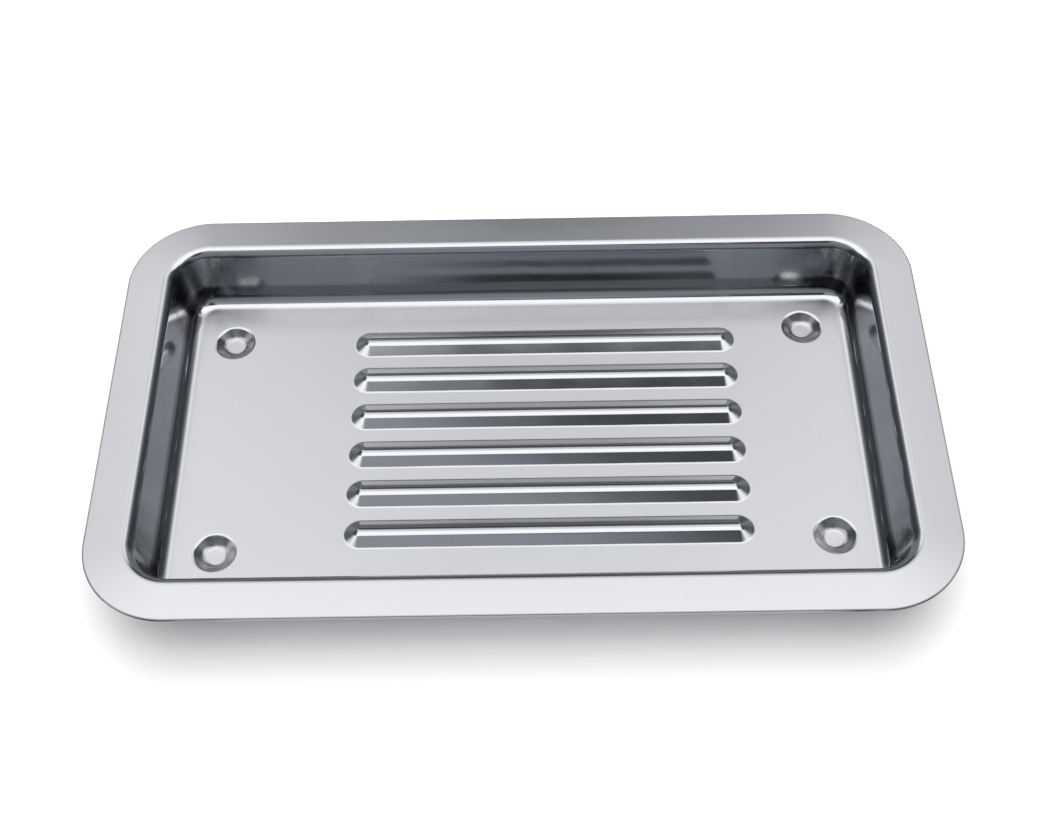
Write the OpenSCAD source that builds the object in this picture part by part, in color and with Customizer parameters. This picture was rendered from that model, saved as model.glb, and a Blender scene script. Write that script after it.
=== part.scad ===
// Instrument tray drawn from one sheet of stainless steel.
// A flat floor with six raised ribs and four pressed feet runs up through a
// drafted wall and a rolled edge into a plain, slightly drooping rim.
// The sheet is stored as the regions that the press gives it. Each region is
// a closed solid of the sheet's own thickness, and neighbours meet face to face.
// Origin: centre of the footprint at the foot bottoms. +X along the length,
// +Y to the back, +Z up.

/* [Tray] */
// Length over the rim
tray_l = 225; // [180:1:300]
// Width over the rim
tray_w = 133.5; // [120:0.5:200]
// Height from the foot bottoms to the crown of the rolled edge
tray_h = 20; // [16:0.5:30]
// Thickness of the sheet
sheet_t = 0.8; // [0.6:0.1:1]
// Corner radius of the rim, seen from above
corner_r = 23; // [22:0.5:30]

/* [Rim and wall] */
// Width of the rim, from the cut edge to the crown of the rolled edge
rim_w = 9.9; // [7:0.1:10]
// Outward droop of the rim, degrees
rim_droop = 4; // [0:0.5:6]
// Radius of the rolled edge between rim and wall
roll_r = 3; // [2:0.5:4]
// Lean of the wall from upright, degrees
wall_draft = 14.5; // [5:0.5:16]
// Radius of the bend between wall and floor
bend_r = 4; // [2:0.5:4]

/* [Ribs] */
// Length of each rib over its round ends
rib_l = 110.8; // [60:0.2:130]
// Width of each rib where it leaves the floor
rib_w = 9.4; // [8:0.2:11]
// Spacing of the ribs from crest to crest
rib_pitch = 13; // [12.6:0.1:15]
// Height of each rib above the floor
rib_h = 1.8; // [1.6:0.1:2.4]
// Radius of a rib's rounded crest
rib_crest_r = 3.4; // [3:0.1:4]
// Radius of the bend between floor and rib
rib_bend_r = 1.4; // [1:0.1:1.5]
// Place of the rib group along the length, from the tray's centre
rib_x = 7; // [-10:0.2:10]
// Place of the rib group across the width, from the tray's centre
rib_y = 0.3; // [-2:0.1:2]

/* [Feet] */
// Depth that each foot is pressed below the floor
foot_drop = 2; // [1.5:0.1:2.5]
// Diameter of a foot where it leaves the floor
foot_d = 12.4; // [12:0.2:14]
// Radius of the bend between floor and foot
foot_rim_r = 1.5; // [1.2:0.1:2]
// Radius of the bend at the bottom of a foot
foot_bowl_r = 3; // [2:0.5:3]
// Slope of a foot's side, degrees
foot_slope = 38; // [34:1:45]
// Spacing of the feet along the length
foot_span_x = 165.4; // [140:0.2:170]
// Spacing of the feet across the width
foot_span_y = 71.6; // [50:0.2:74]
// Turn of the foot pattern against the tray, degrees
foot_turn = 0.95; // [-2:0.05:2]

/* [Hidden] */
$fn = 96;

steel = [0.78, 0.79, 0.81];
rib_count = 6;
arc_steps = 8;

floor_z = foot_drop + sheet_t;
wall_tilt = 90 - wall_draft;

// Straight lengths of the sides between the corners
side_l = tray_l - 2 * corner_r;
side_w = tray_w - 2 * corner_r;

// Centres of the rolled edge and of the floor bend, as [inset, height]
roll_c = [rim_w, tray_h - roll_r];
wall_rise = roll_c.y - floor_z - bend_r + (roll_r + bend_r) * cos(wall_tilt);
wall_run = wall_rise / tan(wall_tilt);
bend_c = [
    rim_w + (roll_r + bend_r) * sin(wall_tilt) + wall_run,
    floor_z + bend_r
];

// Steepest slope of a rib's flank, from its width, height and radii
rib_radii = rib_crest_r + rib_bend_r;
rib_reach = sqrt(pow(rib_w / 2, 2) + pow(rib_radii - rib_h, 2) - pow(rib_radii, 2));
rib_slope = atan2(rib_w / 2, rib_radii - rib_h) - atan2(rib_reach, rib_radii);

// Radius of the flat at the bottom of a foot
foot_radii = foot_rim_r + foot_bowl_r;
foot_side = (foot_drop - foot_radii * (1 - cos(foot_slope))) / sin(foot_slope);
foot_flat_r = foot_d / 2 - foot_radii * sin(foot_slope) - foot_side * cos(foot_slope);

// A sheet path is a list of [across, up, tilt] points on its upper face, where
// tilt is the lean of the face's normal towards the positive side.
function crown(c, r, from, to) = [
    for (i = [0:arc_steps])
        let (tilt = from + (to - from) * i / arc_steps)
        [c.x + r * sin(tilt), c.y + r * cos(tilt), tilt]
];
function hollow(c, r, from, to) = [
    for (i = [0:arc_steps])
        let (tilt = from + (to - from) * i / arc_steps)
        [c.x - r * sin(tilt), c.y - r * cos(tilt), tilt]
];
function upper(p) = [p.x, p.y];
function lower(p) = [p.x - sheet_t * sin(p.z), p.y - sheet_t * cos(p.z)];
function reversed(list) = [for (i = [len(list) - 1:-1:0]) list[i]];

// Section of the sheet along a path
module sheet(path) {
    polygon(concat(
        [for (p = path) upper(p)],
        [for (p = reversed(path)) lower(p)]
    ));
}

// Paths of the side regions, measured inwards from the cut edge
rim_roll = concat(
    [crown(roll_c, roll_r, -rim_droop, 0)[0]],
    crown(roll_c, roll_r, 0, wall_tilt)
);
rim_edge = [0, rim_roll[0].y - rim_roll[0].x * tan(rim_droop), -rim_droop];
rim_path = concat([rim_edge], rim_roll);
wall_path = concat([rim_roll[len(rim_roll) - 1]], hollow(bend_c, bend_r, wall_tilt, 0));

// Paths of the pressed features, measured from their own centre lines
rib_left = hollow([-rib_w / 2, floor_z + rib_bend_r], rib_bend_r, 0, -rib_slope);
rib_crest = crown([0, floor_z + rib_h - rib_crest_r], rib_crest_r, -rib_slope, 0);
rib_half = concat(rib_left, rib_crest);
foot_rim = crown([-foot_d / 2, floor_z - foot_rim_r], foot_rim_r, 0, foot_slope);
foot_bowl = hollow([-foot_flat_r, sheet_t + foot_bowl_r], foot_bowl_r, foot_slope, 0);
foot_half = concat(foot_rim, foot_bowl, [[0, sheet_t, 0]]);

// A straight side region, length long, with its cut edge at y = -depth
module side(path, length, depth) {
    translate([-length / 2, -depth, 0])
        rotate([90, 0, 90])
            linear_extrude(length)
                sheet(path);
}

// A quarter-round corner region that joins two side regions
module corner(path, right, back) {
    turn = back ? (right ? 0 : 90) : (right ? 270 : 180);
    translate([right ? side_l / 2 : -side_l / 2, back ? side_w / 2 : -side_w / 2, 0])
        rotate([0, 0, turn])
            rotate_extrude(angle = 90)
                translate([corner_r, 0])
                    mirror([1, 0])
                        sheet(path);
}

// Outline of one rib's footprint
module rib_outline() {
    straight = rib_l - rib_w;
    square([straight, rib_w], center = true);
    for (end = [-1, 1])
        translate([end * straight / 2, 0])
            circle(d = rib_w);
}

// Centre of rib number n, counted from the back
function rib_place(n) = [rib_x, rib_y + rib_pitch * ((rib_count + 1) / 2 - n)];

// Centre of a foot, with the small turn of the foot pattern
function foot_place(right, back) =
    let (x = (right ? 1 : -1) * foot_span_x / 2, y = (back ? 1 : -1) * foot_span_y / 2)
    [x * cos(foot_turn) - y * sin(foot_turn), x * sin(foot_turn) + y * cos(foot_turn)];

// Outline of the flat floor, out to the start of the wall bend
module floor_outline() {
    inner_l = tray_l - 2 * bend_c.x;
    inner_w = tray_w - 2 * bend_c.x;
    square([inner_l, side_w], center = true);
    square([side_l, inner_w], center = true);
    for (x = [-1, 1], y = [-1, 1])
        translate([x * side_l / 2, y * side_w / 2])
            circle(corner_r - bend_c.x);
}

module floor_panel() {
    color(steel)
        translate([0, 0, foot_drop])
            linear_extrude(sheet_t)
                difference() {
                    floor_outline();
                    for (n = [1:rib_count])
                        translate(rib_place(n))
                            rib_outline();
                    for (right = [false, true], back = [false, true])
                        translate(foot_place(right, back))
                            circle(d = foot_d);
                }
}

module rib(n) {
    straight = rib_l - rib_w;
    color(steel)
        translate(rib_place(n)) {
            translate([-straight / 2, 0, 0])
                rotate([90, 0, 90])
                    linear_extrude(straight) {
                        sheet(rib_half);
                        mirror([1, 0])
                            sheet(rib_half);
                    }
            for (turn = [90, 270])
                rotate([0, 0, turn])
                    translate([0, -straight / 2, 0])
                        rotate([0, 0, 180])
                            rotate_extrude(angle = 180)
                                mirror([1, 0])
                                    sheet(rib_half);
        }
}

module foot(right, back) {
    color(steel)
        translate(foot_place(right, back))
            rotate_extrude()
                mirror([1, 0])
                    sheet(foot_half);
}

module wall_side(length, depth) {
    color(steel)
        side(wall_path, length, depth);
}

module wall_corner(right, back) {
    color(steel)
        corner(wall_path, right, back);
}

module rim_side(length, depth) {
    color(steel)
        side(rim_path, length, depth);
}

module rim_corner(right, back) {
    color(steel)
        corner(rim_path, right, back);
}

floor_panel();

rib(1);  // rib_1
rib(2);  // rib_2
rib(3);  // rib_3
rib(4);  // rib_4
rib(5);  // rib_5
rib(6);  // rib_6

foot(false, false);  // foot_front_left
foot(true, false);  // foot_front_right
foot(false, true);  // foot_back_left
foot(true, true);  // foot_back_right

wall_side(side_l, tray_w / 2);  // wall_front
rotate(180) wall_side(side_l, tray_w / 2);  // wall_back
rotate(-90) wall_side(side_w, tray_l / 2);  // wall_left
rotate(90) wall_side(side_w, tray_l / 2);  // wall_right
wall_corner(false, false);  // wall_corner_front_left
wall_corner(true, false);  // wall_corner_front_right
wall_corner(false, true);  // wall_corner_back_left
wall_corner(true, true);  // wall_corner_back_right

rim_side(side_l, tray_w / 2);  // rim_front
rotate(180) rim_side(side_l, tray_w / 2);  // rim_back
rotate(-90) rim_side(side_w, tray_l / 2);  // rim_left
rotate(90) rim_side(side_w, tray_l / 2);  // rim_right
rim_corner(false, false);  // rim_corner_front_left
rim_corner(true, false);  // rim_corner_front_right
rim_corner(false, true);  // rim_corner_back_left
rim_corner(true, true);  // rim_corner_back_right
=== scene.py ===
import math

import bpy
from mathutils import Matrix, Vector


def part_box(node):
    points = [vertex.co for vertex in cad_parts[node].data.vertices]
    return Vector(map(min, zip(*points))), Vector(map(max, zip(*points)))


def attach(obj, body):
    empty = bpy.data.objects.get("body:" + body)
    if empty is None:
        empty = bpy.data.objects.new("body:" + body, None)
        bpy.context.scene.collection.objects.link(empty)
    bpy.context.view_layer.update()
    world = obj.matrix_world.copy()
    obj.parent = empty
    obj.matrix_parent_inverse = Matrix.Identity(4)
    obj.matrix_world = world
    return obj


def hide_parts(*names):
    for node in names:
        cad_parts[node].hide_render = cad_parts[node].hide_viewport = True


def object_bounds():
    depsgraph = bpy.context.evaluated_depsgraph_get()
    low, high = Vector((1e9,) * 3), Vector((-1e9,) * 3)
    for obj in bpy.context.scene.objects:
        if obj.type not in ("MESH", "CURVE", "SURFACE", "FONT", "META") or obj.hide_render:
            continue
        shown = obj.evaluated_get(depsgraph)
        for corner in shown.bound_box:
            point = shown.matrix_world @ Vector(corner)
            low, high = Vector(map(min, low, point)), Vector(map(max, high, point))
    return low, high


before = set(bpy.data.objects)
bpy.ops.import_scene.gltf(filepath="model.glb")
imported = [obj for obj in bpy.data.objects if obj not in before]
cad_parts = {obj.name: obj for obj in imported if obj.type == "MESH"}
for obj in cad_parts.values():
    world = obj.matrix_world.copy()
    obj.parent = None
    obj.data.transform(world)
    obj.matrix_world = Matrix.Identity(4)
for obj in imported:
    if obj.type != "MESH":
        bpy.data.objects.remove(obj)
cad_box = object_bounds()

MM = 0.001

# The tray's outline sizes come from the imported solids. The bends and slopes of
# its sections are the press tool's own, as the solids have them.
low, high = cad_box
LENGTH, WIDTH, HEIGHT = high - low
floor_low, floor_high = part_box("floor_panel")
FLOOR_UP = floor_high.z
SHEET = floor_high.z - floor_low.z
corner_low, corner_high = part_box("rim_corner_back_right")
CORNER = corner_high.x - corner_low.x

RIM_WIDTH = 9.9 * MM
RIM_DROOP = math.radians(4)
ROLL_RADIUS = 3 * MM
WALL_TILT = math.radians(90 - 14.5)
BEND_RADIUS = 4 * MM

rib_low, rib_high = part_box("rib_1")
rib_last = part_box("rib_6")
RIB_COUNT = 6
RIB_LENGTH = rib_high.x - rib_low.x
RIB_WIDTH = rib_high.y - rib_low.y
RIB_HEIGHT = rib_high.z - FLOOR_UP
RIB_PITCH = (rib_high.y - rib_last[1].y) / (RIB_COUNT - 1)
RIB_START = Vector(((rib_low.x + rib_high.x) / 2, (rib_low.y + rib_high.y) / 2, 0))
CREST_RADIUS = 3.4 * MM
RIB_BEND = 1.4 * MM
RIB_END_SHARE = 0.25
RIB_END_RUN = 2.4 * MM

FEET = {
    place: sum(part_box("foot_" + place), Vector()) / 2
    for place in ("front_left", "front_right", "back_left", "back_right")
}
foot_row = FEET["front_right"] - FEET["front_left"]
foot_column = FEET["back_left"] - FEET["front_left"]
FOOT_TURN = math.atan2(foot_row.y, foot_row.x)
FOOT_SPAN = Vector((foot_row.xy.length, foot_column.xy.length, 0))
foot_low, foot_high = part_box("foot_front_left")
FOOT_WIDTH = foot_high.x - foot_low.x
FOOT_DROP = FLOOR_UP - SHEET - foot_low.z
FOOT_RIM = 1.5 * MM
FOOT_BOWL = 3 * MM
FOOT_SLOPE = math.radians(38)

# A flat strip left round each pressed feature, so that the flat floor stays flat
FLAT_STRIP = 0.3 * MM

# Steps round a quarter turn of each outline, and over each bend of its section
RIM_STEPS, RIB_STEPS, FOOT_STEPS = 40, 20, 24
RIM_BEND_STEPS, RIB_BEND_STEPS, FOOT_BEND_STEPS = 14, 9, 9

# The bevel of the cut edge, and how sharp an edge has to be to get it
DEBURRED_EDGE = 0.32 * MM
DEBURRED_STEPS = 4
SHARP_ANGLE = math.radians(60)


class Wire:
    """An output socket that can be used in sums. Each sum adds its Math node."""

    def __init__(self, tree, socket):
        self.tree = tree
        self.socket = socket

    def math(self, operation, *values):
        return self.tree.add("ShaderNodeMath", {"operation": operation}, values)

    def __add__(self, other):
        return self.math("ADD", self, other)

    def __radd__(self, other):
        return self.math("ADD", other, self)

    def __sub__(self, other):
        return self.math("SUBTRACT", self, other)

    def __rsub__(self, other):
        return self.math("SUBTRACT", other, self)

    def __mul__(self, other):
        return self.math("MULTIPLY", self, other)

    def __rmul__(self, other):
        return self.math("MULTIPLY", other, self)

    def __truediv__(self, other):
        return self.math("DIVIDE", self, other)

    def __neg__(self):
        return self.math("MULTIPLY", self, -1.0)

    def __pow__(self, other):
        return self.math("POWER", self, other)

    def __abs__(self):
        return self.math("ABSOLUTE", self)


class Tree:
    """A node tree that is written as calls. A call gives its node's output as a Wire."""

    def __init__(self, tree):
        self.tree = tree

    def add(self, kind, settings=None, sockets=(), out=0):
        """Adds a node: its settings, then its sockets' values or Wires, by name or in order."""
        node = self.tree.nodes.new(kind)
        for name, value in (settings or {}).items():
            setattr(node, name, value)
        named = sockets.items() if isinstance(sockets, dict) else enumerate(sockets)
        for name, value in named:
            self.join(node.inputs[name], value)
        if not node.outputs:
            return node
        return Wire(self, node.outputs[out])

    def join(self, socket, value):
        """Sets a socket to a value, or links it to a Wire or to each Wire of a list."""
        for item in value if isinstance(value, list) else [value]:
            if isinstance(item, Wire):
                self.tree.links.new(item.socket, socket)
            else:
                socket.default_value = item


def split(tree, vector):
    """The three parts of a vector."""
    node = tree.add("ShaderNodeSeparateXYZ", sockets=[vector]).socket.node
    return [Wire(tree, output) for output in node.outputs]


def band(tree, value, start, stop, softness):
    """One between start and stop, fading to nothing over the softness at either end."""
    rise = smooth(tree, value, start - softness, start + softness)
    fall = smooth(tree, value, stop - softness, stop + softness)
    return rise * (1 - fall)


def smooth(tree, value, start, stop):
    """Nothing below start, one above stop and an easy curve between them."""
    return tree.add(
        "ShaderNodeMapRange", {"interpolation_type": "SMOOTHSTEP"},
        {"Value": value, "From Min": start, "From Max": stop},
    )


def tangent_corner(radius, tilt):
    """Distance from where an arc starts to where its two end tangents cross."""
    return radius * math.tan(tilt / 2)


def rim_section():
    """Corner points of the rim's section, from the flat floor out to the cut edge."""
    half = (WALL_TILT + RIM_DROOP) / 2
    reach = ROLL_RADIUS / math.cos(half)
    lean = WALL_TILT - half
    roll = Vector((RIM_WIDTH + reach * math.sin(lean), HEIGHT - ROLL_RADIUS + reach * math.cos(lean)))
    bend = Vector((roll.x + (roll.y - FLOOR_UP) / math.tan(WALL_TILT), FLOOR_UP))
    edge = Vector((0, roll.y - roll.x * math.tan(RIM_DROOP)))
    inset = bend.x + tangent_corner(BEND_RADIUS, WALL_TILT) + FLAT_STRIP
    points = [Vector((inset, FLOOR_UP)), bend, roll, edge]
    return inset, [Vector((inset - p.x, -p.y, 0)) for p in points]


def rib_section():
    """Corner points of half a rib's section, from its crest out to the floor."""
    radii = CREST_RADIUS + RIB_BEND
    half = RIB_WIDTH / 2
    run = math.sqrt(half ** 2 + (radii - RIB_HEIGHT) ** 2 - radii ** 2)
    slope = math.atan2(half, radii - RIB_HEIGHT) - math.atan2(run, radii)
    spine = -half - FLAT_STRIP
    return [
        Vector((spine, -RIB_HEIGHT, 0)),
        Vector((spine + tangent_corner(CREST_RADIUS, slope), -RIB_HEIGHT, 0)),
        Vector((-FLAT_STRIP - tangent_corner(RIB_BEND, slope), 0, 0)),
        Vector((0, 0, 0)),
    ]


def foot_section():
    """Corner points of half a foot's section, from its centre out to the floor."""
    drop = FOOT_DROP
    rim = FLAT_STRIP + tangent_corner(FOOT_RIM, FOOT_SLOPE)
    return [
        Vector((-FOOT_WIDTH / 2 - FLAT_STRIP, drop, 0)),
        Vector((-rim - drop / math.tan(FOOT_SLOPE), drop, 0)),
        Vector((-rim, 0, 0)),
        Vector((0, 0, 0)),
    ]


def turned_outline(tree, radius, steps):
    """A ring for each corner's arc. Half a step's turn keeps its points off the two axes."""
    ring = tree.add(
        "GeometryNodeCurvePrimitiveCircle", {"mode": "RADIUS"},
        {"Resolution": steps * 4, "Radius": radius},
    )
    half_step = tree.add("ShaderNodeCombineXYZ", sockets={"Z": math.pi / 4 / steps})
    ring = tree.add("GeometryNodeTransform", sockets={"Geometry": ring, "Rotation": half_step})
    place = tree.add("GeometryNodeInputPosition")
    return tree.add(
        "GeometryNodeStoreNamedAttribute", {"data_type": "FLOAT_VECTOR", "domain": "POINT"},
        {"Geometry": ring, "Name": "ring place", "Value": place},
    )


def pulled_apart(tree, geometry, length, width):
    """Moves the four quarters of a turned shape apart, which draws its straight sides."""
    ring_place = tree.add(
        "GeometryNodeInputNamedAttribute", {"data_type": "FLOAT_VECTOR"}, {"Name": "ring place"}
    )
    quarter = tree.add("ShaderNodeVectorMath", {"operation": "SIGN"}, [ring_place])
    reach = tree.add("ShaderNodeCombineXYZ", sockets={"X": length / 2, "Y": width / 2})
    shift = tree.add("ShaderNodeVectorMath", {"operation": "MULTIPLY"}, [quarter, reach])
    return tree.add("GeometryNodeSetPosition", sockets={"Geometry": geometry, "Offset": shift})


def bent_section(tree, points, first_radius, second_radius, steps):
    """An open section through four points, with a bend of its own radius at each inner one."""
    closed = tree.add(
        "GeometryNodeCurvePrimitiveQuadrilateral", {"mode": "POINTS"},
        {f"Point {n + 1}": point for n, point in enumerate(points)},
    )
    line = tree.add("GeometryNodeSetSplineCyclic", sockets={"Geometry": closed, "Cyclic": False})
    later = tree.add("GeometryNodeInputIndex") - 1
    radius = first_radius * (1 - later) + second_radius * later
    return tree.add(
        "GeometryNodeFilletCurve", {"mode": "POLY"},
        {"Curve": line, "Count": steps, "Radius": radius, "Limit Radius": False},
    )


def pressed_form(tree, section, radius, length, width, steps):
    """The outline of a rounded rectangle and the skin that its section makes round it."""
    ring = turned_outline(tree, radius, steps)
    turned = tree.add("GeometryNodeCurveToMesh", sockets={"Curve": ring, "Profile Curve": section})
    return (
        pulled_apart(tree, ring, length, width),
        pulled_apart(tree, turned, length, width),
    )


def eased_ends(tree, rib, core_length, share, run):
    """Lowers a rib's two ends by a share of their height, as the press tool's ends do."""
    x, _, z = split(tree, tree.add("GeometryNodeInputPosition"))
    past = smooth(tree, abs(x) - core_length / 2, 0.0, run)
    drop = tree.add("ShaderNodeCombineXYZ", sockets={"Z": -(z * past * share)})
    return tree.add("GeometryNodeSetPosition", sockets={"Geometry": rib, "Offset": drop})


def welded(tree, geometry, distance):
    """The geometry with its meeting points made one."""
    return tree.add("GeometryNodeMergeByDistance", sockets={"Geometry": geometry, "Distance": distance})


def placed(tree, geometry, points):
    """A copy of the geometry on every point, made real."""
    copies = tree.add(
        "GeometryNodeInstanceOnPoints", sockets={"Points": points, "Instance": geometry}
    )
    return tree.add("GeometryNodeRealizeInstances", sockets=[copies])


def pressed_sheet_tree():
    """The upper face of the whole pressing, worked out from its outlines and sections."""
    inset, rim_points = rim_section()
    vector, number, whole = "NodeSocketVector", "NodeSocketFloat", "NodeSocketInt"
    sizes = {
        "Floor corner radius": (number, CORNER - inset),
        "Floor core length": (number, LENGTH - 2 * CORNER),
        "Floor core width": (number, WIDTH - 2 * CORNER),
        "Floor height": (number, FLOOR_UP),
        "Bend radius": (number, BEND_RADIUS),
        "Roll radius": (number, ROLL_RADIUS),
        "Rib radius": (number, RIB_WIDTH / 2 + FLAT_STRIP),
        "Rib core length": (number, RIB_LENGTH - RIB_WIDTH),
        "Rib crest radius": (number, CREST_RADIUS),
        "Rib bend radius": (number, RIB_BEND),
        "Rib end share": (number, RIB_END_SHARE),
        "Rib end run": (number, RIB_END_RUN),
        "Rib count": (whole, RIB_COUNT),
        "Rib pitch": (number, RIB_PITCH),
        "First rib": (vector, RIB_START),
        "Foot radius": (number, FOOT_WIDTH / 2 + FLAT_STRIP),
        "Foot bowl radius": (number, FOOT_BOWL),
        "Foot rim radius": (number, FOOT_RIM),
        "Foot spacing along": (number, FOOT_SPAN.x),
        "Foot spacing across": (number, FOOT_SPAN.y),
        "Foot turn": (number, FOOT_TURN),
        "Weld distance": (number, 0.001 * MM),
    }
    sections = {"Rim": rim_points, "Rib": rib_section(), "Foot": foot_section()}
    for part, points in sections.items():
        for n, point in enumerate(points):
            sizes[f"{part} point {n + 1}"] = (vector, point)

    group = bpy.data.node_groups.new("pressed sheet", "GeometryNodeTree")
    for name, (kind, _) in sizes.items():
        group.interface.new_socket(name, in_out="INPUT", socket_type=kind)
    group.interface.new_socket("Material", in_out="INPUT", socket_type="NodeSocketMaterial")
    group.interface.new_socket("Sheet", in_out="OUTPUT", socket_type="NodeSocketGeometry")
    tree = Tree(group)
    given = group.nodes.new("NodeGroupInput")
    size = {socket.name: Wire(tree, socket) for socket in given.outputs if socket.name}
    points = {part: [size[f"{part} point {n + 1}"] for n in range(4)] for part in sections}

    rim_curve = bent_section(
        tree, points["Rim"], size["Bend radius"], size["Roll radius"], RIM_BEND_STEPS
    )
    floor_outline, rim = pressed_form(
        tree, rim_curve, size["Floor corner radius"],
        size["Floor core length"], size["Floor core width"], RIM_STEPS,
    )

    rib_curve = bent_section(
        tree, points["Rib"], size["Rib crest radius"], size["Rib bend radius"], RIB_BEND_STEPS
    )
    rib_outline, rib = pressed_form(
        tree, rib_curve, size["Rib radius"], size["Rib core length"], 0.0, RIB_STEPS
    )
    rib = eased_ends(tree, rib, size["Rib core length"], size["Rib end share"], size["Rib end run"])
    step_back = tree.add("ShaderNodeCombineXYZ", sockets={"Y": -size["Rib pitch"]})
    rib_row = tree.add(
        "GeometryNodeMeshLine", {"mode": "OFFSET", "count_mode": "TOTAL"},
        {"Count": size["Rib count"], "Start Location": size["First rib"], "Offset": step_back},
    )

    foot_curve = bent_section(
        tree, points["Foot"], size["Foot bowl radius"], size["Foot rim radius"], FOOT_BEND_STEPS
    )
    foot_outline, foot = pressed_form(tree, foot_curve, size["Foot radius"], 0.0, 0.0, FOOT_STEPS)
    foot_grid = tree.add("GeometryNodeMeshGrid", sockets={
        "Size X": size["Foot spacing along"], "Size Y": size["Foot spacing across"],
        "Vertices X": 2, "Vertices Y": 2,
    })
    foot_turn = tree.add("ShaderNodeCombineXYZ", sockets={"Z": size["Foot turn"]})
    foot_places = tree.add(
        "GeometryNodeTransform", sockets={"Geometry": foot_grid, "Rotation": foot_turn}
    )

    weld = size["Weld distance"]
    outlines = tree.add("GeometryNodeJoinGeometry", sockets=[[
        floor_outline,
        placed(tree, rib_outline, rib_row),
        placed(tree, foot_outline, foot_places),
    ]])
    flat = tree.add("GeometryNodeFillCurve", {"mode": "NGONS"}, [outlines])
    floor = tree.add("GeometryNodeJoinGeometry", sockets=[[
        flat,
        placed(tree, welded(tree, rib, weld), rib_row),
        placed(tree, welded(tree, foot, weld), foot_places),
    ]])
    lift = tree.add("ShaderNodeCombineXYZ", sockets={"Z": size["Floor height"]})
    floor = tree.add("GeometryNodeTransform", sockets={"Geometry": floor, "Translation": lift})
    whole_sheet = tree.add("GeometryNodeJoinGeometry", sockets=[[rim, floor]])
    one_skin = welded(tree, whole_sheet, weld)
    plain = tree.add(
        "GeometryNodeRemoveAttribute", sockets={"Geometry": one_skin, "Name": "ring place"}
    )
    real = tree.add("GeometryNodeRealizeInstances", sockets=[plain])
    made = tree.add("GeometryNodeSetMaterial", sockets={"Geometry": real, "Material": size["Material"]})
    tree.add("NodeGroupOutput", sockets=[made])
    return group, {name: value for name, (_, value) in sizes.items()}


def run_tree(name, group, values, material):
    """A plain mesh object holding what the tree makes."""
    holder = bpy.data.objects.new(name + "_tree", bpy.data.meshes.new(name + "_tree"))
    bpy.context.scene.collection.objects.link(holder)
    modifier = holder.modifiers.new("tree", "NODES")
    modifier.node_group = group
    sockets = {
        item.name: item.identifier
        for item in group.interface.items_tree if item.in_out == "INPUT"
    }
    for socket_name, value in values.items():
        modifier[sockets[socket_name]] = list(value) if isinstance(value, Vector) else value
    modifier[sockets["Material"]] = material
    evaluated = holder.evaluated_get(bpy.context.evaluated_depsgraph_get())
    mesh = bpy.data.meshes.new_from_object(evaluated)
    mesh.name = name
    bpy.data.objects.remove(holder)
    made = bpy.data.objects.new(name, mesh)
    bpy.context.scene.collection.objects.link(made)
    return made


def thicken(sheet):
    """Gives the face its sheet thickness below, a deburred cut edge and true shading."""
    wall = sheet.modifiers.new("sheet thickness", "SOLIDIFY")
    wall.thickness = SHEET
    wall.offset = -1
    wall.use_even_offset = True
    edge = sheet.modifiers.new("deburred edge", "BEVEL")
    edge.width = DEBURRED_EDGE
    edge.segments = DEBURRED_STEPS
    edge.limit_method = "ANGLE"
    edge.angle_limit = SHARP_ANGLE
    shading = sheet.modifiers.new("shading", "WEIGHTED_NORMAL")
    shading.mode = "FACE_AREA"
    shading.keep_sharp = False


def noise(tree, place, scale, size=1.0, detail=3.0, roughness=0.5):
    """Noise on a place that is first stretched by its three scales per metre."""
    stretched = tree.add("ShaderNodeMapping", sockets={"Vector": place, "Scale": scale})
    return tree.add(
        "ShaderNodeTexNoise", {"noise_dimensions": "3D"},
        {"Vector": stretched, "Scale": size, "Detail": detail, "Roughness": roughness},
    )


def from_cut_edge(tree, x, y):
    """Distance in from the cut edge, true for as far as the corners reach."""
    past_x = tree.add("ShaderNodeMath", {"operation": "MAXIMUM"}, [abs(x) - (LENGTH / 2 - CORNER), 0.0])
    past_y = tree.add("ShaderNodeMath", {"operation": "MAXIMUM"}, [abs(y) - (WIDTH / 2 - CORNER), 0.0])
    return CORNER - (past_x * past_x + past_y * past_y) ** 0.5


# Roughness of the steel where it stayed flat, where it was drawn and where it was cut
SATIN = 0.26
BURNISHED = 0.10
SHEARED = 0.42

# The steel's colour, and the least share of it that a place darkened by painted shade keeps
STEEL_COLOUR = (0.79, 0.795, 0.815)
DARKEST = 0.06

# The middle of what a noise gives, so that a mark goes both ways from nothing
NOISE_MIDDLE = 0.5

# How strongly each mark shows in the roughness, in the shade and in the relief (mm)
CLOUD_ROUGHNESS, CLOUD_SHADE, CLOUD_RELIEF = 0.12, 0.08, 0.02
ROLLED_ROUGHNESS, ROLLED_SHADE = 0.03, 0.012
SMEAR_ROUGHNESS = 0.08
DRAWN_ROUGHNESS = 0.3
RIPPLE_RELIEF = 0.04

# What drawing did to a wall corner, a foot and a rib's end: how much rougher each is, how much painted
# shade darkens the wall corner and the foot's ring, and how strongly the drawn marks show in that shade
# and in the relief (mm)
CORNER_ROUGHER, CORNER_PAINTED_SHADE, CORNER_UNEVEN, CORNER_RELIEF = 0.06, 0.50, 2.0, 0.14
FOOT_ROUGHER, FOOT_RING_PAINTED_SHADE, FOOT_UNEVEN, FOOT_RELIEF = 0.16, 0.34, 1.6, 0.08
RIB_END_ROUGHER, RIB_END_RELIEF = 0.10, 0.05

# How much shade is painted on other places: the cut edge, a band low on the wall, and the ribs'
# far slopes, with what is added towards a slope's middle and what is added on the first rib
CUT_PAINTED_SHADE, LOW_WALL_PAINTED_SHADE = 0.42, 0.40
SLOPE_PAINTED_SHADE, SLOPE_MIDDLE_PAINTED_SHADE = 0.24, 0.14
FIRST_RIB_PAINTED_SHADE, FIRST_RIB_MIDDLE_PAINTED_SHADE = 0.12, 0.30


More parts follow.
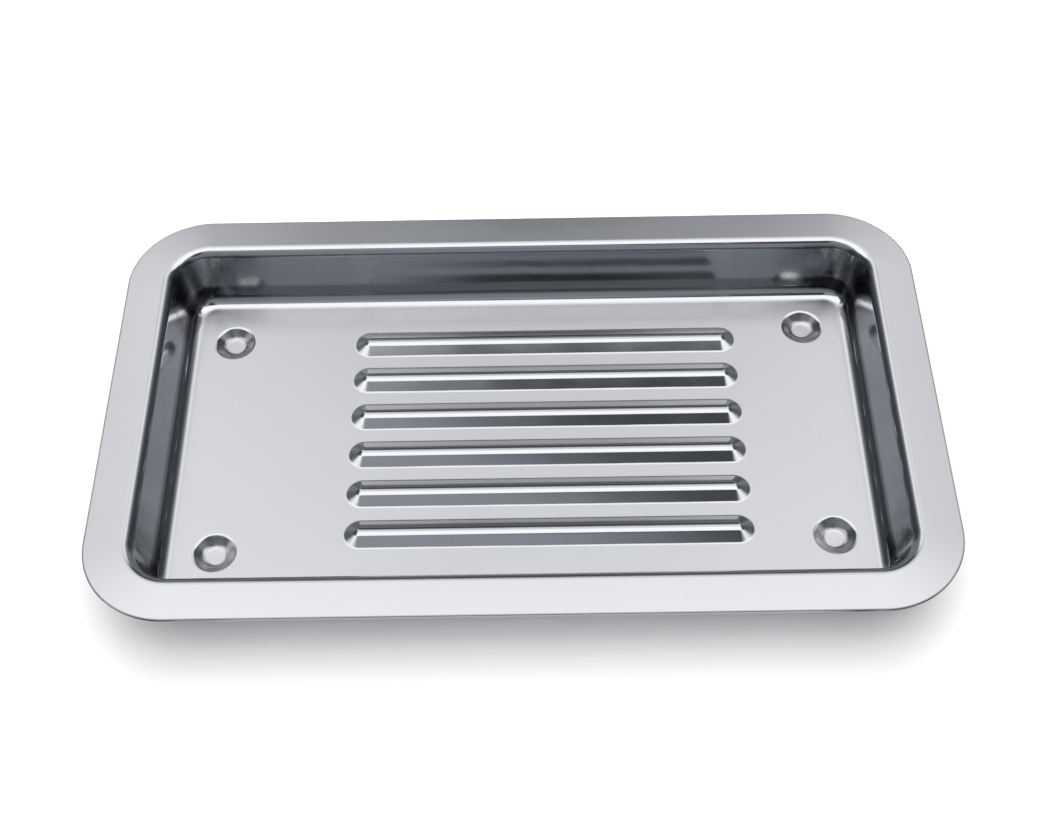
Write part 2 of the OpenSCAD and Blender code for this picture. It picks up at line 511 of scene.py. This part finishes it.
def flat_zones(tree, height, facing):
    """Where the sheet kept its rolled finish: the flat floor and the flat of the rim."""
    on_floor = band(tree, height, FLOOR_UP - 0.1 * MM, FLOOR_UP + 0.1 * MM, 0.08 * MM)
    on_rim = smooth(tree, height, HEIGHT - 1.4 * MM, HEIGHT - 1.0 * MM)
    return on_floor + on_rim * smooth(tree, facing, 0.95, 0.99)


def foot_zones(tree, height):
    """Where the feet are, and the sloped ring of each."""
    on_foot = 1 - smooth(tree, height, FLOOR_UP - 0.4 * MM, FLOOR_UP - 0.1 * MM)
    ring = on_foot * smooth(tree, height, SHEET + 0.02 * MM, SHEET + 0.15 * MM)
    return on_foot, ring


def wall_zones(tree, x, y, height, facing):
    """What stands upright, the drawn corners of it, and a band just above the floor bend that gets
    painted shade.
    """
    upright = 1 - smooth(tree, abs(facing), 0.45, 0.85)
    near_corner = smooth(tree, abs(x), 70 * MM, 90 * MM) * smooth(tree, abs(y), 26 * MM, 46 * MM)
    # The low band is painted shade, a dark reflection painted into the steel's colour
    low_wall = band(tree, height, FLOOR_UP + 1.5 * MM, FLOOR_UP + 5.5 * MM, 0.8 * MM)
    return upright, near_corner * upright, low_wall * upright


def rib_zones(tree, x, y, height, backward, upright):
    """The ribs' rounded ends, and the shade painted on their far slopes, the first rib's darkest of
    all.
    """
    from_middle = abs(x - RIB_START.x)
    raised = smooth(tree, height, FLOOR_UP, FLOOR_UP + 0.2 * MM)
    ends = band(tree, from_middle, RIB_LENGTH / 2 - 4 * MM, RIB_LENGTH / 2, 1.5 * MM) * raised
    # The far slopes get painted shade, a dark reflection painted into the steel's colour
    far_slope = smooth(tree, backward, 0.16, 0.34) * (1 - upright) * raised
    middle = 1 - smooth(tree, from_middle, 10 * MM, 52 * MM)
    on_first_rib = smooth(tree, y, RIB_START.y - 8 * MM, RIB_START.y - 5 * MM)
    painted_shade = SLOPE_PAINTED_SHADE + SLOPE_MIDDLE_PAINTED_SHADE * middle
    painted_shade = painted_shade + on_first_rib * (FIRST_RIB_PAINTED_SHADE + FIRST_RIB_MIDDLE_PAINTED_SHADE * middle)
    return ends, far_slope * painted_shade


def polished_steel():
    """Bright-rolled stainless sheet: satin where it stayed flat, burnished where it was drawn."""
    material = bpy.data.materials.new("polished_steel")
    material.use_nodes = True
    tree = Tree(material.node_tree)
    shader = material.node_tree.nodes["Principled BSDF"]
    place = tree.add("ShaderNodeTexCoord", out="Object")
    x, y, height = split(tree, place)
    _, backward, facing = split(tree, tree.add("ShaderNodeNewGeometry", out="Normal"))

    flat = flat_zones(tree, height, facing)
    on_foot, foot_ring = foot_zones(tree, height)
    upright, in_corner, low_wall = wall_zones(tree, x, y, height, facing)
    rib_end, slope_painted_shade = rib_zones(tree, x, y, height, backward, upright)
    # The cut edge is rougher, and painted shade darkens it where a dark reflection would be
    on_cut = 1 - smooth(tree, from_cut_edge(tree, x, y), 0.25 * MM, 0.6 * MM)

    # Each mark's offset from its middle value
    rolled = noise(tree, place, (7, 420, 60), detail=1) - NOISE_MIDDLE
    cloud = noise(tree, place, (22, 38, 38), detail=3) - NOISE_MIDDLE
    smear = noise(tree, place, (70, 160, 120), detail=4, roughness=0.6) - NOISE_MIDDLE
    drawn = noise(tree, place, (150, 150, 90), detail=4) - NOISE_MIDDLE
    ripple = noise(tree, place, (60, 60, 90), detail=1) - NOISE_MIDDLE

    satin = SATIN + cloud * CLOUD_ROUGHNESS + rolled * ROLLED_ROUGHNESS
    burnished = BURNISHED + smear * SMEAR_ROUGHNESS
    burnished = burnished + on_foot * FOOT_ROUGHER + rib_end * RIB_END_ROUGHER
    burnished = burnished + in_corner * (CORNER_ROUGHER + drawn * DRAWN_ROUGHNESS)
    roughness = burnished + flat * (satin - burnished)
    tree.join(shader.inputs["Roughness"], roughness + on_cut * (SHEARED - roughness))

    # Random tone in the steel, then the painted shade of the places below
    shade = cloud * CLOUD_SHADE + rolled * ROLLED_SHADE * flat
    # Painted shade darkens the wall corners, mottled by the drawn marks
    shade = shade - in_corner * (CORNER_PAINTED_SHADE + drawn * CORNER_UNEVEN)
    # Painted shade darkens each foot's sloped ring, mottled by the drawn marks
    shade = shade - foot_ring * (FOOT_RING_PAINTED_SHADE + drawn * FOOT_UNEVEN)
    # Painted shade along the cut edge, low on the walls and on the ribs' far slopes
    shade = shade - on_cut * CUT_PAINTED_SHADE - low_wall * LOW_WALL_PAINTED_SHADE - slope_painted_shade
    strength = tree.add("ShaderNodeMath", {"operation": "MAXIMUM"}, [1 + shade, DARKEST])
    colour = tree.add(
        "ShaderNodeVectorMath", {"operation": "SCALE"}, {0: STEEL_COLOUR, "Scale": strength}
    )
    tree.join(shader.inputs["Base Color"], colour)
    shader.inputs["Metallic"].default_value = 1

    drawn_relief = in_corner * CORNER_RELIEF + on_foot * FOOT_RELIEF + rib_end * RIB_END_RELIEF
    relief = cloud * flat * CLOUD_RELIEF + ripple * (1 - flat) * RIPPLE_RELIEF
    relief = relief + drawn * drawn_relief
    bump = tree.add(
        "ShaderNodeBump", sockets={"Strength": 1.0, "Distance": 1.0, "Height": relief * MM}
    )
    tree.join(shader.inputs["Normal"], bump)
    return material


def pressed_tray():
    """The whole tray: the pressed face, given its material and its thickness."""
    group, values = pressed_sheet_tree()
    tray = run_tree("pressed_tray", group, values, polished_steel())
    for face in tray.data.polygons:
        face.use_smooth = True
    thicken(tray)
    return tray


# Sensor and lens in mm, and the roll in degrees
SENSOR_WIDTH = 36
LENS = 56.53
CAMERA_PLACE = Vector((3.0 * MM, -265.7 * MM, 371.1 * MM + FLOOR_UP))
CAMERA_TARGET = Vector((-0.3 * MM, 6.4 * MM, FLOOR_UP))
CAMERA_ROLL = -1.45


def add_camera():
    """A long-normal lens looking down on the tray from the front at about 54 degrees."""
    data = bpy.data.cameras.new("camera")
    data.sensor_width = SENSOR_WIDTH
    data.lens = LENS
    camera = bpy.data.objects.new("camera", data)
    bpy.context.scene.collection.objects.link(camera)
    tilt = (CAMERA_TARGET - CAMERA_PLACE).to_track_quat("-Z", "Y").to_matrix().to_4x4()
    roll = Matrix.Rotation(math.radians(CAMERA_ROLL), 4, "Z")
    camera.matrix_world = Matrix.Translation(CAMERA_PLACE) @ tilt @ roll
    bpy.context.scene.camera = camera


def add_floor():
    """A white sheet, two metres square, that takes the tray's shadow."""
    bpy.ops.mesh.primitive_plane_add(size=2)
    floor = bpy.context.object
    floor.name = "studio_floor"
    material = bpy.data.materials.new("studio_floor")
    material.use_nodes = True
    shader = material.node_tree.nodes["Principled BSDF"]
    shader.inputs["Base Color"].default_value = (0.9, 0.9, 0.9, 1)
    shader.inputs["Roughness"].default_value = 1.0
    shader.inputs["Specular IOR Level"].default_value = 0.0
    floor.data.materials.append(material)


def add_light(name, place, size, power):
    """A soft panel aimed at the tray. It lights the floor and stays out of the polish."""
    data = bpy.data.lights.new(name, "AREA")
    data.shape = "RECTANGLE"
    data.size, data.size_y = size
    data.energy = power
    light = bpy.data.objects.new(name, data)
    bpy.context.scene.collection.objects.link(light)
    place = Vector(place)
    turn = (-place).to_track_quat("-Z", "Y").to_matrix().to_4x4()
    light.matrix_world = Matrix.Translation(place) @ turn
    light.visible_glossy = False


# Light levels of the studio
ROOM_SIDES, ROOM_MIDDLE, ROOM_FRONT = 0.06, 0.17, 0.08
SOFTBOX, SOFTBOX_SIDES, SOFTBOX_TOP, SOFTBOX_RIGHT = 0.77, 0.14, 0.42, -0.12
BACK_OPENING, FIGURE = 0.06, 0.05
FRONT_HORIZON_LOSS = 0.7

# How blue the studio's light is everywhere, and how much more where it is dark
BLUE, DARK_BLUE = 0.01, 0.10
DARK_BLUE_FADE = (0.1, 0.7)

# Where each light fades in or out, in degrees over the top or to a side. Three numbers are
# where a band starts, where it stops and how softly.
ROOM_SIDE_FADE = (32, 48)
FRONT_HORIZON_FADE = (158, 172)
ROOM_FRONT_BAND = (103, 122, 4)
SOFTBOX_BACK_EDGE = (31, 41)
SOFTBOX_FRONT_EDGE = (101, 106)
SOFTBOX_REACH, SOFTBOX_TOP_REACH = 27, 19
SOFTBOX_WIDENING = (55, 80)
SOFTBOX_SIDE_EDGE = (-7, 7)
SOFTBOX_TOP_FADE = (62, 71)
SOFTBOX_SIDES_FADE = (3, 10)
SOFTBOX_RIGHT_FADE = (14, 22)
OPENING_LOWER_EDGE = (14, 28)
OPENING_UPPER_EDGE = (35, 53)
OPENING_SIDE_EDGE = (9, 11.5)
FIGURE_LEAN, FIGURE_LEAN_FADE = 10, (105, 114)
FIGURE_HEIGHT = (103, 126, 3)
FIGURE_WIDTH = (-4, 16, 4)


def over_and_side(tree):
    """Degrees over the top, from the back (0) to the camera's side (180), and to either side."""
    x, y, z = split(tree, tree.add("ShaderNodeTexCoord", out="Generated"))
    to_degrees = 180 / math.pi
    turn = tree.add("ShaderNodeMath", {"operation": "ARCTAN2"}, [y, z])
    side = tree.add("ShaderNodeMath", {"operation": "ARCSINE"}, [x])
    return 90 - turn * to_degrees, side * to_degrees


def studio_light(tree, over, side):
    """The room, one wide softbox overhead, a dark opening behind and a dark figure in front."""
    wide = abs(side)
    room = ROOM_SIDES + ROOM_MIDDLE * (1 - smooth(tree, wide, *ROOM_SIDE_FADE))
    room = room * (1 - FRONT_HORIZON_LOSS * smooth(tree, over, *FRONT_HORIZON_FADE))
    room = room + ROOM_FRONT * band(tree, over, *ROOM_FRONT_BAND)

    reach = SOFTBOX_REACH + SOFTBOX_TOP_REACH * smooth(tree, over, *SOFTBOX_WIDENING)
    softbox = smooth(tree, over, *SOFTBOX_BACK_EDGE)
    softbox = softbox * (1 - smooth(tree, over, *SOFTBOX_FRONT_EDGE))
    softbox = softbox * (1 - smooth(tree, wide - reach, *SOFTBOX_SIDE_EDGE))
    low = 1 - smooth(tree, over, *SOFTBOX_TOP_FADE)
    level = SOFTBOX + SOFTBOX_SIDES * smooth(tree, wide, *SOFTBOX_SIDES_FADE) * low
    level = level + SOFTBOX_TOP * (1 - low)
    level = level + SOFTBOX_RIGHT * smooth(tree, side, *SOFTBOX_RIGHT_FADE) * low
    light = room + softbox * (level - room)

    back = smooth(tree, over, *OPENING_LOWER_EDGE) * (1 - smooth(tree, over, *OPENING_UPPER_EDGE))
    back = back * (1 - smooth(tree, wide, *OPENING_SIDE_EDGE))
    light = light + back * (BACK_OPENING - light)
    leant = side - FIGURE_LEAN * smooth(tree, over, *FIGURE_LEAN_FADE)
    figure = band(tree, over, *FIGURE_HEIGHT) * band(tree, leant, *FIGURE_WIDTH)
    return light + figure * (FIGURE - light)


def add_world():
    """The studio that the steel mirrors. The camera itself sees plain white behind the tray."""
    world = bpy.data.worlds.new("studio")
    world.use_nodes = True
    bpy.context.scene.world = world
    tree = Tree(world.node_tree)
    over, side = over_and_side(tree)
    light = studio_light(tree, over, side)
    camera = tree.add("ShaderNodeLightPath", out="Is Camera Ray")
    light = light + camera * (1.0 - light)
    blue = DARK_BLUE * (1 - smooth(tree, light, *DARK_BLUE_FADE))
    colour = tree.add("ShaderNodeCombineColor", sockets=[
        light * (1 - blue), light, light * (1 + BLUE + blue)
    ])
    tree.join(world.node_tree.nodes["Background"].inputs["Color"], colour)


bpy.context.scene.view_settings.view_transform = "Standard"
add_camera()
add_floor()
add_world()
add_light("back_panel", place=(0, 0.9, 0.8), size=(1.3, 1.2), power=6.6)
add_light("overhead_panel", place=(0, 0, 1.6), size=(2.4, 2.0), power=21)
add_light("front_panel", place=(0, -0.8, 1.3), size=(2.0, 1.2), power=7.5)
tray = pressed_tray()
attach(tray, "root")
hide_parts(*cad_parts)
